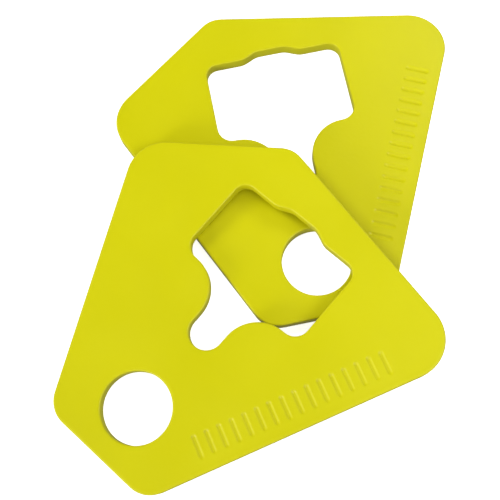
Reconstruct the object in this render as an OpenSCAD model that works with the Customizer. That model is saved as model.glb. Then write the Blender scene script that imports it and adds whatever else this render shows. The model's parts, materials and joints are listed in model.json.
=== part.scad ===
// Pair of post-puller plates: two identical pressed steel plates, the second leaning on the first.
// Each plate has a pull hole near its narrow tip, a wide slot with a narrow lobe for the post,
// and a row of shallow pressed marks along one tapered edge.
//
// Millimetres, +Z up. The origin is the centre of the bottom plate's pull hole, on the surface
// that the plate lies on. The bottom plate's centre line runs along +Y, from its tip to its wide end.

/* [Plate] */
// Thickness of each plate
plate_t = 5; // [4:0.5:6]
// Diameter of the pull hole
hole_d = 25; // [12:0.5:27]
// Pull hole centre to the straight tip edge
tip_dist = 20.5; // [18:0.5:24]
// Pull hole centre to each tapered edge, measured square to the edge
taper_dist = 29.3; // [27:0.1:33]
// Angle between each tapered edge and the centre line
taper_angle = 25.5; // [22:0.5:29]
// Pull hole centre to the wide end, measured square to it
wide_dist = 100; // [97:0.5:106]
// Tilt of the wide end
wide_tilt = 11; // [8:0.5:14]
// Pull hole centre to the clipped corner, measured square to it
clip_dist = 97; // [94:0.5:99]
// Slope of the clipped corner
clip_slope = 36; // [34:0.5:40]

/* [Corners] */
// Radius of the two tip corners
tip_r = 10.5; // [4:0.5:12]
// Radius of the two corners at the widest part
side_r = 14; // [6:0.5:16]
// Radius of the corner between the clip and the wide end
clip_r = 10; // [4:0.5:12]

/* [Slot] */
// Width of the slot's wide part
slot_w = 52.5; // [40:0.5:56]
// Sideways offset of the slot from the pull hole
slot_shift = 1; // [-1:0.5:1]
// Pull hole centre to the slot's gripping edge
slot_top = 85; // [80:0.5:87]
// Pull hole centre to the slot's shoulders
slot_shoulder = 52.5; // [50:0.5:56]
// Radius of the slot's corners at the gripping edge
slot_top_r = 4.5; // [2:0.5:6]
// Radius of the slot's corners at the shoulders
slot_low_r = 5.5; // [2:0.5:6]
// Width of the narrow lobe
lobe_w = 12.5; // [8:0.5:15]
// Pull hole centre to the centre of the lobe's round end
lobe_pos = 35; // [30:0.5:37]
// Radius of the bulge on each side of the lobe
bulge_r = 14; // [10:0.5:15]

/* [Recess in the gripping edge] */
// Depth of the recess
recess_depth = 2.5; // [0.5:0.5:4]
// Width of its flat bottom
recess_flat = 8.5; // [6:0.5:12]
// Width of its mouth
recess_mouth = 25; // [20:1:28]

/* [Pressed marks] */
// Number of marks
mark_count = 16; // [4:1:17]
// Distance from one mark to the next
mark_pitch = 4.6; // [3:0.1:4.8]
// Length of each mark
mark_len = 8; // [3:0.5:8]
// Width of each mark
mark_w = 1.2; // [0.6:0.1:1.6]
// Depth of each mark
mark_depth = 0.4; // [0.2:0.1:0.8]
// Tapered edge to the middle of the marks
mark_inset = 9; // [6:0.5:9]
// Position of the first mark along the tapered edge, from the point beside the pull hole
mark_start = 14.5; // [10:0.5:16]

/* [Arrangement] */
// Top plate's pull hole, sideways from the bottom plate's, before it leans
top_x = -71.5; // [-74:0.5:-70]
// Top plate's pull hole, along the bottom plate's centre line, before it leans
top_y = -38.5; // [-40:0.5:-37]
// Top plate's turn about its pull hole
top_turn = -52.5; // [-56:0.5:-48]

/* [Hidden] */
// Corner arcs are drawn with this many steps
ARC_STEPS = 10;
// The recess's sides are drawn with this many steps
RAMP_STEPS = 6;
// A cutter passes this far beyond the face it cuts
CUT = 1;
// Fragments of the pull hole
HOLE_FN = 96;
YELLOW = [0.85, 0.83, 0.08];
slot_half = slot_w / 2;
lobe_r = lobe_w / 2;

// A unit step along an angle
function dir(a) = [cos(a), sin(a)];

// Points on an arc from angle a0 to angle a1
function arc(c, r, a0, a1) =
    [for (i = [0 : ARC_STEPS]) c + r * dir(a0 + (a1 - a0) * i / ARC_STEPS)];

// Where two straight edges meet. An edge is its outward angle and its distance from the pull hole.
function meet(a1, d1, a2, d2) =
    [d1 * sin(a2) - d2 * sin(a1), d2 * cos(a1) - d1 * cos(a2)] / sin(a2 - a1);

// The centre of the rounded corner between two edges, and the corner itself
function corner_centre(e1, e2, r) = meet(e1[0], e1[1] - r, e2[0], e2[1] - r);

function corner(e1, e2, r) = arc(corner_centre(e1, e2, r), r, e1[0], e2[0]);

// The plate's five edges, anticlockwise: outward angle and distance from the pull hole
TIP = [-90, tip_dist];
RIGHT = [-taper_angle, taper_dist];
WIDE = [90 - wide_tilt, wide_dist];
CLIP = [90 + clip_slope, clip_dist];
LEFT = [180 + taper_angle, taper_dist];
TIP_AGAIN = [270, tip_dist];

outline = concat(
    corner(TIP, RIGHT, tip_r),
    corner(RIGHT, WIDE, side_r),
    corner(WIDE, CLIP, clip_r),
    corner(CLIP, LEFT, side_r),
    corner(LEFT, TIP_AGAIN, tip_r)
);

// How far the top plate's two tip corners reach past the bottom plate's left edge, and its lean:
// it rests on the top of that edge, with the further corner down on the surface.
function reach_past_edge(c) =
    dir(LEFT[0]) * [top_x, top_y] + dir(LEFT[0] - top_turn) * c + tip_r - LEFT[1];

reach = max(
    reach_past_edge(corner_centre(TIP, RIGHT, tip_r)),
    reach_past_edge(corner_centre(LEFT, TIP_AGAIN, tip_r))
);
lean = asin(plate_t / reach);

// One side of the recess, from its flat bottom out to the gripping edge
recess_side = [
    for (i = [0 : RAMP_STEPS])
        let (s = i / RAMP_STEPS)
        [
            (recess_flat + (recess_mouth - recess_flat) * s) / 2,
            slot_top + recess_depth * (1 + cos(180 * s)) / 2
        ]
];

// The slot's right half, from the gripping edge clockwise to the end of the lobe
slot_right = concat(
    recess_side,
    arc([slot_half - slot_top_r, slot_top - slot_top_r], slot_top_r, 90, 0),
    arc([slot_half - slot_low_r, slot_shoulder + slot_low_r], slot_low_r, 0, -90),
    arc([lobe_r + bulge_r, slot_shoulder - bulge_r], bulge_r, 90, 180),
    arc([0, lobe_pos], lobe_r, 0, -90)
);

// Its mirror image, from the end of the lobe back to the gripping edge
slot_left = [for (i = [len(slot_right) - 2 : -1 : 0]) [-slot_right[i][0], slot_right[i][1]]];

// The middle of mark i, counted along the right tapered edge
function mark_at(i) =
    (taper_dist - mark_inset) * dir(-taper_angle)
    + (mark_start + i * mark_pitch) * dir(90 - taper_angle);

module pull_hole() {
    translate([0, 0, -CUT])
        cylinder(h = plate_t + 2 * CUT, d = hole_d, $fn = HOLE_FN);
}

module post_slot() {
    translate([slot_shift, 0, -CUT])
        linear_extrude(height = plate_t + 2 * CUT)
            polygon(concat(slot_right, slot_left));
}

module pressed_marks() {
    for (i = [0 : mark_count - 1])
        translate([mark_at(i)[0], mark_at(i)[1], plate_t - mark_depth])
            rotate([0, 0, -taper_angle])
                translate([-mark_len / 2, -mark_w / 2, 0])
                    cube([mark_len, mark_w, mark_depth + CUT]);
}

module plate() {
    difference() {
        linear_extrude(height = plate_t)
            polygon(outline);
        pull_hole();
        post_slot();
        pressed_marks();
    }
}

module bottom_plate() {
    color(YELLOW)
        plate();
}

// Turns its children down about the top of the bottom plate's left edge, by the lean angle
module leaning_over_left_edge() {
    rotate([0, 0, LEFT[0]])
        translate([LEFT[1], 0, plate_t])
            rotate([0, lean, 0])
                translate([-LEFT[1], 0, 0])
                    rotate([0, 0, -LEFT[0]])
                        children();
}

module top_plate() {
    color(YELLOW)
        leaning_over_left_edge()
            translate([top_x, top_y, 0])
                rotate([0, 0, top_turn])
                    plate();
}

bottom_plate();
top_plate();
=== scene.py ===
"""Looks for a pair of post-puller plates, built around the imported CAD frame. Metres, +Z up."""

import json
import math

import bpy
import numpy as np
from mathutils import Matrix, Vector, geometry


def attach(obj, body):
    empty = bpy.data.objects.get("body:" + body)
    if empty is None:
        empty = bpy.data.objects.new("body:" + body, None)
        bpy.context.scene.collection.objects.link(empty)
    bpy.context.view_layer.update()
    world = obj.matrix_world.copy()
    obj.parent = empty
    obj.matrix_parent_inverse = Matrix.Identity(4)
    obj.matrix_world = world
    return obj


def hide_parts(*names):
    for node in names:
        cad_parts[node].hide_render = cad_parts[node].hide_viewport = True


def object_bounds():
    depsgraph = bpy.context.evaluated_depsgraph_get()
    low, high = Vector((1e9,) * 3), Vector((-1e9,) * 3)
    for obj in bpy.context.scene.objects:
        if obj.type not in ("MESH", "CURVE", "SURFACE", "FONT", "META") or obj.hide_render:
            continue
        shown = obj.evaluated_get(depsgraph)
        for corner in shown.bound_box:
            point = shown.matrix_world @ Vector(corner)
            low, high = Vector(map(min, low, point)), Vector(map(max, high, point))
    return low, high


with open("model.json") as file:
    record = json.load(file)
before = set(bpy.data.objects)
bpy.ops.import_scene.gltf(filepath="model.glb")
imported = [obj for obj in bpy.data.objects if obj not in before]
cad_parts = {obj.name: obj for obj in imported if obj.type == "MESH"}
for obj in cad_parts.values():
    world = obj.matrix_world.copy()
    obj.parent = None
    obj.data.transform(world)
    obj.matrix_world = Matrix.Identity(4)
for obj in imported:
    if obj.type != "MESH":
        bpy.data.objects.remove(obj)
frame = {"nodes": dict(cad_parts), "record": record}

MM = 0.001
cad_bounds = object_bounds()
middle = (Vector(cad_bounds[0]) + Vector(cad_bounds[1])) / 2
mounts = {m["name"]: m for m in frame["record"]["mounts"]}

# ---------------------------------------------------------------- camera

CAMERA_AT = Vector((-30.2, -73.6, 281.7)) * MM
CAMERA_TURN = (0.2893, 0.0316, -0.1966)
CAMERA_LENS_MM = 57.65
SENSOR_MM = 36
NEAR_CLIP = 10 * MM


def add_camera():
    camera = bpy.data.objects.new("camera", bpy.data.cameras.new("camera"))
    camera.location = CAMERA_AT
    camera.rotation_euler = CAMERA_TURN
    camera.data.lens = CAMERA_LENS_MM
    camera.data.sensor_width = SENSOR_MM
    camera.data.clip_start = NEAR_CLIP
    bpy.context.scene.collection.objects.link(camera)
    bpy.context.scene.camera = camera


# ---------------------------------------------------------------- reading a plate from its CAD node

FLAT = 0.99            # a face whose normal is at least this upright belongs to the top or bottom
WELD = 1e-6            # points of the CAD mesh closer than this are one point
NO_AREA = 1e-20        # keeps the normal of a face with no area finite
TOP_BAND = 0.01 * MM   # faces this close to the thickness are the top face
MARK_SPAN = 10 * MM    # loops on the top face smaller than this are pressed marks


def plate_axes(name):
    """The plate's own frame: origin at the pull hole's centre on the underside, +Y to the slot, +Z up."""
    hole = mounts[name + "_pull_hole"]
    slot = mounts[name + "_post_slot"]
    up = Vector(hole["axis"]).normalized()
    if up.z < 0:
        up = -up
    centre = Vector(hole["pos_m"])
    along = Vector(slot["pos_m"]) - centre
    along = (along - along.dot(up) * up).normalized()
    across = along.cross(up)
    node = frame["nodes"][name + "_plate"]
    underside = min(v.co.dot(up) for v in node.data.vertices)
    origin = centre + (underside - centre.dot(up)) * up
    turn = Matrix((across, along, up)).transposed()
    return Matrix.Translation(origin) @ turn.to_4x4()


def cad_triangles(node, axes):
    """The CAD node's welded points and triangles, in the plate's own frame."""
    inverse = axes.inverted()
    points = np.array([inverse @ v.co for v in node.data.vertices])
    node.data.calc_loop_triangles()
    corners = np.array([t.vertices[:] for t in node.data.loop_triangles])
    keys = np.round(points / WELD).astype(np.int64)
    _, first, same = np.unique(keys, axis=0, return_index=True, return_inverse=True)
    return points[first], same.reshape(-1)[corners]


def boundary_loops(points, triangles):
    """The loops round a flat set of triangles, with the material on the left of each."""
    edges = {(t[i], t[(i + 1) % 3]) for t in triangles for i in range(3)}
    following = {a: b for a, b in edges if (b, a) not in edges}
    loops = []
    while following:
        start, here = following.popitem()
        loop = [start]
        while here != start:
            loop.append(here)
            here = following.pop(here)
        loops.append(points[loop, :2])
    return loops


def mark_shape(corners):
    """Centre, directions along and across, half length and half width of one rectangular mark."""
    centre = corners.mean(axis=0)
    sides = np.roll(corners, -1, axis=0) - corners
    lengths = np.linalg.norm(sides, axis=1)
    longest = lengths.argmax()
    along = sides[longest] / lengths[longest]
    across = np.array([-along[1], along[0]])
    half_length = np.abs((corners - centre) @ along).max()
    half_width = np.abs((corners - centre) @ across).max()
    return centre, along, across, half_length, half_width


def read_plate(name):
    """Frame, thickness, outline, holes and marks of a plate, from its CAD node."""
    axes = plate_axes(name)
    points, triangles = cad_triangles(frame["nodes"][name + "_plate"], axes)
    a, b, c = (points[triangles[:, i]] for i in range(3))
    normals = np.cross(b - a, c - a)
    normals /= np.linalg.norm(normals, axis=1)[:, None] + NO_AREA
    height = (a + b + c)[:, 2] / 3
    thickness = points[:, 2].max()
    upright = normals[:, 2] > FLAT
    top = upright & (height > thickness - TOP_BAND)
    loops = boundary_loops(points, triangles[top])
    loops.sort(key=lambda p: np.prod(np.ptp(p, axis=0)), reverse=True)
    rims = [p for p in loops if np.ptp(p, axis=0).max() > MARK_SPAN]
    marks = [p for p in loops if np.ptp(p, axis=0).max() <= MARK_SPAN]
    groove_floor = height[upright & ~top].max()
    return {
        "axes": axes,
        "thickness": thickness,
        "outline": rims[0],
        "holes": rims[1:],
        "marks": [mark_shape(p) for p in marks],
        "mark_depth": thickness - groove_floor,
    }


# ---------------------------------------------------------------- plate mesh

RIM_STEP = 0.8 * MM          # distance between points along an edge
STRAIGHT = 2                 # a side this many times longer than the next one is a straight stretch
INSET = 0.05 * MM            # keeps the rounded curves inside the CAD's straight-sided ones
ROLL_IN = 0.7 * MM           # how far the pressed-over top edge reaches into the face
ROLL_DOWN = 0.45 * MM        # how far it reaches down the wall
ROLL_STEPS = 7
UNDER_R = 0.35 * MM          # radius of the coated lower edge
UNDER_STEPS = 4
FLAT_HOLD = 0.35 * MM        # a narrow flat band that keeps the faces' shading flat
FACE_STEP = 3.0 * MM         # spacing of the points on the flat faces
RIM_GAP = 0.6 * FACE_STEP    # a face's points stay this far from its edges
SLIVER = 1e-9                # square metres; a smaller triangle lies along a straight edge, outside the face
NEAR = 1e-9                  # points closer than this would be merged
BATCH = 500                  # points compared with all the others at a time

MARK_SOFT = 0.38 * MM        # half the width of a mark's softened side
MARK_LIP = 0.035 * MM        # metal raised beside a mark
MARK_LIP_AT = 0.75 * MM      # distance of the lip from the mark's side
MARK_LIP_W = 0.4 * MM
MARK_STEP_ACROSS = 0.2 * MM
MARK_STEP_ALONG = 0.35 * MM
MARK_MARGIN = 1.3 * MM       # how far the closely spaced points reach past a mark
MARK_GAP = 0.8 * MM          # the face's own points stay this far from them


def smooth_loop(corners):
    """The loop's curve at an even spacing. Straight stretches stay straight and arcs become round."""
    chords = np.roll(corners, -1, axis=0) - corners
    lengths = np.linalg.norm(chords, axis=1)
    after = chords / lengths[:, None]
    before = np.roll(after, 1, axis=0)
    lengths_before = np.roll(lengths, 1)
    tangents = before + after
    tangents /= np.linalg.norm(tangents, axis=1)[:, None]
    straight_in = lengths_before > STRAIGHT * lengths
    straight_out = lengths > STRAIGHT * lengths_before
    tangents[straight_in] = before[straight_in]
    tangents[straight_out] = after[straight_out]
    points, directions = [], []
    for i in range(len(corners)):
        j = (i + 1) % len(corners)
        steps = max(1, round(lengths[i] / RIM_STEP))
        t = (np.arange(steps) / steps)[:, None]
        p, q = corners[i], corners[j]
        u, v = tangents[i] * lengths[i], tangents[j] * lengths[i]
        points.append(
            (2 * t**3 - 3 * t**2 + 1) * p + (t**3 - 2 * t**2 + t) * u
            + (3 * t**2 - 2 * t**3) * q + (t**3 - t**2) * v
        )
        directions.append(
            (6 * t**2 - 6 * t) * p + (3 * t**2 - 4 * t + 1) * u
            + (6 * t - 6 * t**2) * q + (3 * t**2 - 2 * t) * v
        )
    directions = np.concatenate(directions)
    directions /= np.linalg.norm(directions, axis=1)[:, None]
    inward = np.column_stack([-directions[:, 1], directions[:, 0]])
    return np.concatenate(points), inward


def edge_profile(thickness):
    """(distance in from the wall, height) from the top face over the wall to the underside."""
    profile = [(ROLL_IN + FLAT_HOLD, thickness)]
    for i in range(ROLL_STEPS + 1):
        a = math.pi / 2 * i / ROLL_STEPS
        profile.append((ROLL_IN * (1 - math.sin(a)), thickness - ROLL_DOWN * (1 - math.cos(a))))
    for i in range(UNDER_STEPS + 1):
        a = math.pi / 2 * i / UNDER_STEPS
        profile.append((UNDER_R * (1 - math.cos(a)), UNDER_R * (1 - math.sin(a))))
    profile.append((UNDER_R + FLAT_HOLD, 0.0))
    return [(inset + INSET, height) for inset, height in profile]


def edge_rings(rims, profile):
    """Rings of points round every rim, one for each step of the profile, joined by quads.

    Returns the points, the quads, the share of edge at each point, and the innermost rings of the
    top and of the underside, each as (point numbers, points).
    """
    points, faces, edge_share, top, under = [], [], [], [], []
    last = len(profile) - 1
    count = 0
    for rim, inward in rims:
        n = len(rim)
        for k, (inset, height) in enumerate(profile):
            here = count + np.arange(n)
            beside = count + (np.arange(n) + 1) % n
            ring = rim + inward * inset
            points.append(np.column_stack([ring, np.full(n, height)]))
            # marks the rounded edges and the walls, where the coat is drawn darker: thinner coat, and
            # painted shade on the walls
            edge_share.append(np.full(n, float(1 < k < last - 1)))
            if k == 0:
                top.append((here, ring))
            else:
                faces += np.column_stack([here - n, here, beside, beside - n]).tolist()
            if k == last:
                under.append((here, ring))
            count += n
    return points, faces, edge_share, top, under


def inside(points, loop):
    """Which points lie inside a loop, by counting crossings."""
    x, y = points[:, 0, None], points[:, 1, None]
    a, b = loop, np.roll(loop, -1, axis=0)
    spans = (a[:, 1] > y) != (b[:, 1] > y)
    rise = np.where(b[:, 1] == a[:, 1], 1, b[:, 1] - a[:, 1])
    crossing = a[:, 0] + (y - a[:, 1]) * (b[:, 0] - a[:, 0]) / rise
    return (spans & (x < crossing)).sum(axis=1) % 2 == 1


def on_face(points, rings):
    """Which points lie inside the outer ring, and outside the others."""
    keep = inside(points, rings[0])
    for ring in rings[1:]:
        keep &= ~inside(points, ring)
    return keep


def clear_of(points, others, distance):
    """Which points are further than a distance from every one of the others."""
    keep = np.ones(len(points), bool)
    for start in range(0, len(points), BATCH):
        part = points[start:start + BATCH]
        gap = np.linalg.norm(part[:, None] - others[None], axis=2).min(axis=1)
        keep[start:start + BATCH] = gap > distance
    return keep


def face_grid(rings):
    """A triangular grid of points on the face, clear of its edges."""
    low, high = rings[0].min(axis=0), rings[0].max(axis=0)
    rows = []
    for k, y in enumerate(np.arange(low[1], high[1], FACE_STEP * math.sqrt(3) / 2)):
        x = np.arange(low[0] + (k % 2) * FACE_STEP / 2, high[0], FACE_STEP)
        rows.append(np.column_stack([x, np.full(len(x), y)]))
    grid = np.concatenate(rows)
    grid = grid[on_face(grid, rings)]
    return grid[clear_of(grid, np.concatenate(rings), RIM_GAP)]


def mark_grid(mark):
    """Closely spaced points over one mark and its lip."""
    centre, along, across, half_length, half_width = mark
    s = np.arange(-half_length - MARK_MARGIN, half_length + MARK_MARGIN, MARK_STEP_ALONG)
    t = np.arange(-half_width - MARK_MARGIN, half_width + MARK_MARGIN, MARK_STEP_ACROSS)
    s, t = np.meshgrid(s, t)
    return centre + s.reshape(-1, 1) * along + t.reshape(-1, 1) * across


def face_points(rings, marks):
    """Points inside a face: the plain grid, and closer ones over each mark."""
    grid = face_grid(rings)
    if not marks:
        return grid
    fine = np.concatenate([mark_grid(m) for m in marks])
    return np.concatenate([grid[clear_of(grid, fine, MARK_GAP)], fine])


def mark_relief(points, marks, depth):
    """Height of the face at each point: soft grooves, with a faint lip round each."""
    relief = np.zeros(len(points))
    for centre, along, across, half_length, half_width in marks:
        s = np.abs((points - centre) @ along)
        t = np.abs((points - centre) @ across)
        out = np.hypot(np.maximum(s - half_length + half_width, 0), t) - half_width
        groove = np.clip((MARK_SOFT - out) / (2 * MARK_SOFT), 0, 1)
        relief -= depth * groove * groove * (3 - 2 * groove)
        relief += MARK_LIP * np.exp(-(((out - MARK_LIP_AT) / MARK_LIP_W) ** 2))
    return relief


def fill_face(rings, extra):
    """Triangles between the rings that also use the extra points. Ring points come first, in order."""
    coords = np.concatenate(rings + [extra])
    edges, start = [], 0
    for ring in rings:
        n = len(ring)
        edges += [(start + i, start + (i + 1) % n) for i in range(n)]
        start += n
    result = geometry.delaunay_2d_cdt([Vector(p) for p in coords], edges, [], 0, NEAR)
    points = np.array([p[:] for p in result[0]])
    triangles = np.array([f[:] for f in result[2]])
    if len(points) != len(coords):
        raise RuntimeError("the face's points were merged")
    a, b, c = (points[triangles[:, i]] for i in range(3))
    area = np.cross(b - a, c - a) / 2
    return points, triangles[(area > SLIVER) & on_face((a + b + c) / 3, rings)]


def plate_mesh(name, plate):
    """One closed mesh: rings round every edge, with the marked face and the plain underside between."""
    rims = [smooth_loop(p) for p in [plate["outline"]] + plate["holes"]]
    points, faces, edge_share, top, under = edge_rings(rims, edge_profile(plate["thickness"]))
    count = sum(len(p) for p in points)
    for inner, height, marks, order in (
        (top, plate["thickness"], plate["marks"], 1),
        (under, 0.0, [], -1),
    ):
        rings = [ring for _, ring in inner]
        shared = np.concatenate([ids for ids, _ in inner])
        flat, triangles = fill_face(rings, face_points(rings, marks))
        new = flat[len(shared):]
        index = np.concatenate([shared, count + np.arange(len(new))])
        points.append(np.column_stack([new, height + mark_relief(new, marks, plate["mark_depth"])]))
        edge_share.append(np.zeros(len(new)))
        faces += index[triangles[:, ::order]].tolist()
        count += len(new)
    mesh = bpy.data.meshes.new(name)
    mesh.from_pydata(np.concatenate(points).tolist(), [], faces)
    # the mask for the darker coat on edges and walls, which is partly painted shade
    attribute = mesh.attributes.new("edge", "FLOAT", "POINT")
    attribute.data.foreach_set("value", np.concatenate(edge_share).astype(np.float32))
    mesh.validate()
    mesh.shade_smooth()
    return mesh


# ---------------------------------------------------------------- powder coat

COAT = (0.645, 0.612, 0.002, 1.0)
COAT_DEEP = (0.62, 0.588, 0.002, 1.0)
# darker, greener coat on rounded edges and walls: thinner coat on the edges, and painted shade on the walls
THIN_COAT_AND_WALL_SHADE = (0.62, 0.588, 0.006, 1.0)
THIN_COAT_AND_SHADE_MIX = 0.5                 # how far the coat on rounded edges and walls goes towards the darker edge colour: thinner coat on the edges, and painted shade on the walls
CLOUD_SCALE = 28               # slow changes of colour over the faces
GLOSS_SCALE = 60               # slow changes of gloss
ROUGHNESS = (0.34, 0.44)
SPECULAR = 0.4
PEEL_SCALE = 650               # orange peel
PEEL_STRENGTH = 0.35
PEEL_HEIGHT = 0.12 * MM
GRAIN_SCALE = 3500             # fine grain of the powder
GRAIN_STRENGTH = 0.25
GRAIN_HEIGHT = 0.03 * MM
COLOUR_A, COLOUR_B, COLOUR_OUT = 6, 7, 2    # a Mix node's sockets for colours


def powder_coat():
    """Satin yellow powder coat: orange peel, fine grain, a little variation in colour and gloss, and a
    darker coat on edges and walls that is partly thinner coat and partly painted shade.
    """
    material = bpy.data.materials.new("yellow_coat")
    material.use_nodes = True
    nodes, links = material.node_tree.nodes, material.node_tree.links
    shader = nodes["Principled BSDF"]
    where = nodes.new("ShaderNodeTexCoord")

    def noise(scale, detail, roughness=0.5):
        node = nodes.new("ShaderNodeTexNoise")
        node.inputs["Scale"].default_value = scale
        node.inputs["Detail"].default_value = detail
        node.inputs["Roughness"].default_value = roughness
        links.new(where.outputs["Object"], node.inputs["Vector"])
        return node.outputs["Fac"]

    def spread(value, low, high, out_low, out_high):
        node = nodes.new("ShaderNodeMapRange")
        links.new(value, node.inputs["Value"])
        node.inputs["From Min"].default_value = low
        node.inputs["From Max"].default_value = high
        node.inputs["To Min"].default_value = out_low
        node.inputs["To Max"].default_value = out_high
        return node.outputs["Result"]

    def mix(share, a, b):
        node = nodes.new("ShaderNodeMix")
        node.data_type = "RGBA"
        links.new(share, node.inputs["Factor"])
        for socket, value in ((node.inputs[COLOUR_A], a), (node.inputs[COLOUR_B], b)):
            if isinstance(value, tuple):
                socket.default_value = value
            else:
                links.new(value, socket)
        return node.outputs[COLOUR_OUT]

    def bump(height, strength, distance):
        node = nodes.new("ShaderNodeBump")
        node.inputs["Strength"].default_value = strength
        node.inputs["Distance"].default_value = distance
        links.new(height, node.inputs["Height"])
        return node

    cloudy = spread(noise(CLOUD_SCALE, 3), 0.35, 0.65, 0.0, 1.0)
    edge = nodes.new("ShaderNodeAttribute")
    edge.attribute_name = "edge"
    edge_share = spread(edge.outputs["Fac"], 0.0, 1.0, 0.0, THIN_COAT_AND_SHADE_MIX)
    # rounded edges and walls are mixed towards the darker colour: thinner coat, and painted shade on the
    # walls
    colour = mix(edge_share, mix(cloudy, COAT_DEEP, COAT), THIN_COAT_AND_WALL_SHADE)
    links.new(colour, shader.inputs["Base Color"])
    gloss = spread(noise(GLOSS_SCALE, 4, 0.6), 0.3, 0.7, *ROUGHNESS)
    links.new(gloss, shader.inputs["Roughness"])
    peel = bump(noise(PEEL_SCALE, 2, 0.45), PEEL_STRENGTH, PEEL_HEIGHT)
    grain = bump(noise(GRAIN_SCALE, 2), GRAIN_STRENGTH, GRAIN_HEIGHT)
    links.new(peel.outputs["Normal"], grain.inputs["Normal"])
    links.new(grain.outputs["Normal"], shader.inputs["Normal"])
    shader.inputs["Specular IOR Level"].default_value = SPECULAR
    return material


# ---------------------------------------------------------------- floor and light

FLOOR_SIZE = 6
FLOOR_BELOW = 0.1 * MM      # gap that keeps the floor clear of the bottom plate's underside
FLOOR_GREY = 0.9
FLOOR_ROUGHNESS = 0.9
FLOOR_SPECULAR = 0.2
FLOOR_GLOW = 0.85           # light the floor gives off, so that shadows on it stay faint

DOME_LIGHT = 0.53           # brightness of the studio's walls and ceiling
CARD_LIGHT = 0.05           # brightness of the dark card that the plates' faces mirror
CARD_TOWARDS = Vector((0.25, 0.50, 0.83))
CARD_SOFT = (44, 62)        # degrees from the card's middle at which it starts and ends fading out
UNDER_LIGHT = 0.2           # brightness of the dome below the horizon, in place of a white floor's bounce
HORIZON = 0.05              # half the width of the blend between the two
BACKDROP = 1.0              # brightness of the plain backdrop behind the floor, as the camera sees it

# name, place from the middle of the plates, width in metres, watts, whether the coat mirrors it
LAMPS = (
    ("low_window", (-1.7, -1.02, 0.6), 0.7, 20.5, True),
    ("high_left", (-0.75, 0.6, 0.8), 0.5, 6.2, False),
    ("near_right", (0.3, -0.2, 0.42), 0.3, 1.04, True),
    ("top_right", (0.32, 0.28, 0.42), 0.3, 1.2, False),
)


def floor_material():
    material = bpy.data.materials.new("floor")
    material.use_nodes = True
    shader = material.node_tree.nodes["Principled BSDF"]
    shader.inputs["Base Color"].default_value = (FLOOR_GREY, FLOOR_GREY, FLOOR_GREY, 1)
    shader.inputs["Roughness"].default_value = FLOOR_ROUGHNESS
    shader.inputs["Specular IOR Level"].default_value = FLOOR_SPECULAR
    shader.inputs["Emission Color"].default_value = (1, 1, 1, 1)
    shader.inputs["Emission Strength"].default_value = FLOOR_GLOW
    material.cycles.emission_sampling = "NONE"
    return material


def add_floor():
    """A plain white floor that doesn't light the plates and isn't mirrored in them."""
    bpy.ops.mesh.primitive_plane_add(size=FLOOR_SIZE, location=(0, 0, -FLOOR_BELOW))
    floor = bpy.context.object
    floor.name = "floor"
    floor.data.materials.append(floor_material())
    floor.visible_diffuse = False
    floor.visible_glossy = False


def add_lamp(name, offset, size, watts, mirrored):
    light = bpy.data.lights.new(name, "AREA")
    light.shape = "DISK"
    light.size = size
    light.energy = watts
    lamp = bpy.data.objects.new(name, light)
    lamp.location = middle + Vector(offset)
    lamp.rotation_euler = (-Vector(offset)).to_track_quat("-Z", "Y").to_euler()
    lamp.visible_glossy = mirrored
    bpy.context.scene.collection.objects.link(lamp)


def add_dome():
    """Soft light from all round, with a dark card where the plates' faces would mirror it."""
    world = bpy.data.worlds.new("studio")
    world.use_nodes = True
    nodes, links = world.node_tree.nodes, world.node_tree.links
    background = nodes["Background"]
    where = nodes.new("ShaderNodeTexCoord")

    def towards(direction, low, high, out_low, out_high):
        dot = nodes.new("ShaderNodeVectorMath")
        dot.operation = "DOT_PRODUCT"
        links.new(where.outputs["Generated"], dot.inputs[0])
        dot.inputs[1].default_value = direction
        node = nodes.new("ShaderNodeMapRange")
        node.interpolation_type = "SMOOTHSTEP"
        links.new(dot.outputs["Value"], node.inputs["Value"])
        node.inputs["From Min"].default_value = low
        node.inputs["From Max"].default_value = high
        node.inputs["To Min"].default_value = out_low
        node.inputs["To Max"].default_value = out_high
        return node.outputs["Result"]

    inner, outer = (math.cos(math.radians(a)) for a in CARD_SOFT)
    card = towards(CARD_TOWARDS.normalized(), outer, inner, DOME_LIGHT, CARD_LIGHT)
    above = towards((0, 0, 1), -HORIZON, HORIZON, 0, 1)
    total = nodes.new("ShaderNodeMix")
    links.new(above, total.inputs["Factor"])
    total.inputs["A"].default_value = UNDER_LIGHT
    links.new(card, total.inputs["B"])
    seen = nodes.new("ShaderNodeMix")
    links.new(nodes.new("ShaderNodeLightPath").outputs["Is Camera Ray"], seen.inputs["Factor"])
    links.new(total.outputs["Result"], seen.inputs["A"])
    seen.inputs["B"].default_value = BACKDROP
    links.new(seen.outputs["Result"], background.inputs["Strength"])
    background.inputs["Color"].default_value = (1, 1, 1, 1)
    bpy.context.scene.world = world


# ---------------------------------------------------------------- build

def add_plate(name, coat):
    plate = read_plate(name)
    piece_name = name + "_coated_plate"
    piece = bpy.data.objects.new(piece_name, plate_mesh(piece_name, plate))
    piece.data.transform(plate["axes"])
    piece.data.materials.append(coat)
    bpy.context.scene.collection.objects.link(piece)
    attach(piece, name)
    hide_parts(name + "_plate")


def main():
    bpy.context.scene.view_settings.view_transform = "Standard"
    add_camera()
    coat = powder_coat()
    for name in ("bottom", "top"):
        add_plate(name, coat)
    add_floor()
    for lamp in LAMPS:
        add_lamp(*lamp)
    add_dome()


main()
